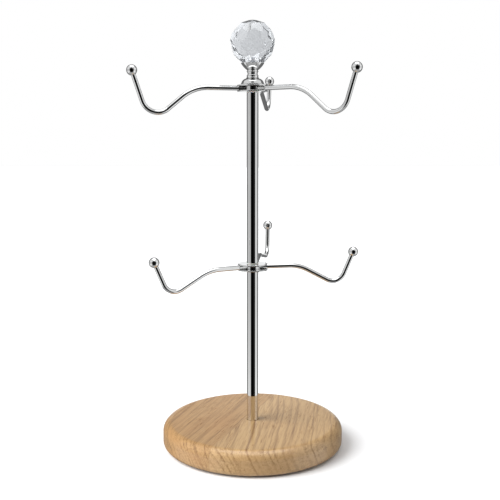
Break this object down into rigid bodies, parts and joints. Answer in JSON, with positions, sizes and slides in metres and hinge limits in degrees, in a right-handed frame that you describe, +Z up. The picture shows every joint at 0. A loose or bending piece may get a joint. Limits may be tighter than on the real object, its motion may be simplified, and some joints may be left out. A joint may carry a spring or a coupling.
{
  "type": "mug tree",
  "caption": "Counter-top mug tree: round wooden base, chromed pole, two turning tiers of bent wire hooks with ball ends, faceted crystal finial that screws off.",
  "frame": {"origin": "on the pole axis, at the surface that the base stands on", "axes": "+Z up along the pole, -Y the front, +X the right-hand side seen from the front"},
  "size_m": [0.1938, 0.1811, 0.3661],
  "materials": {
    "wood_left": "oak stave, satin lacquer",
    "wood_right": "oak stave, satin lacquer",
    "felt": "pressed felt",
    "zinc_steel": "bright zinc plate",
    "nylon": "natural nylon",
    "chrome": "polished chrome plate",
    "crystal": "polished cut crystal"
  },
  "bodies": {
    "stand": {"base_left_stave": "wood_left", "base_right_stave": "wood_right", "base_felt_pad": "felt", "base_nut": "zinc_steel", "base_washer": "zinc_steel", "tie_rod": "zinc_steel", "lower_tube": "chrome", "lower_tube_bushes": "nylon", "upper_tube": "chrome", "upper_tube_bushes": "nylon", "swivel_washers": "nylon"},
    "lower_tier": {"lower_hub_top_disc": "chrome", "lower_hub_bottom_disc": "chrome", "lower_hub_collar": "chrome", "lower_rear_arm": "chrome", "lower_left_arm": "chrome", "lower_right_arm": "chrome", "lower_rear_ball": "chrome", "lower_left_ball": "chrome", "lower_right_ball": "chrome"},
    "upper_tier": {"upper_hub_top_disc": "chrome", "upper_hub_bottom_disc": "chrome", "upper_hub_collar": "chrome", "upper_rear_arm": "chrome", "upper_left_arm": "chrome", "upper_right_arm": "chrome", "upper_rear_ball": "chrome", "upper_left_ball": "chrome", "upper_right_ball": "chrome"},
    "finial": {"finial_cup": "chrome", "finial_crystal": "crystal", "crystal_peg": "zinc_steel"}
  },
  "joints": [
    {"name": "lower_tier_turn", "type": "hinge", "parent": "stand", "child": "lower_tier", "pos_m": [0, 0, 0.159], "axis": [0, 0, 1], "continuous": true},
    {"name": "upper_tier_turn", "type": "hinge", "parent": "stand", "child": "upper_tier", "pos_m": [0, 0, 0.3105], "axis": [0, 0, 1], "continuous": true},
    {"name": "finial_unscrew", "type": "slide", "parent": "stand", "child": "finial", "axis": [0, 0, 1], "range_m": [0, 0.012]}
  ]
}
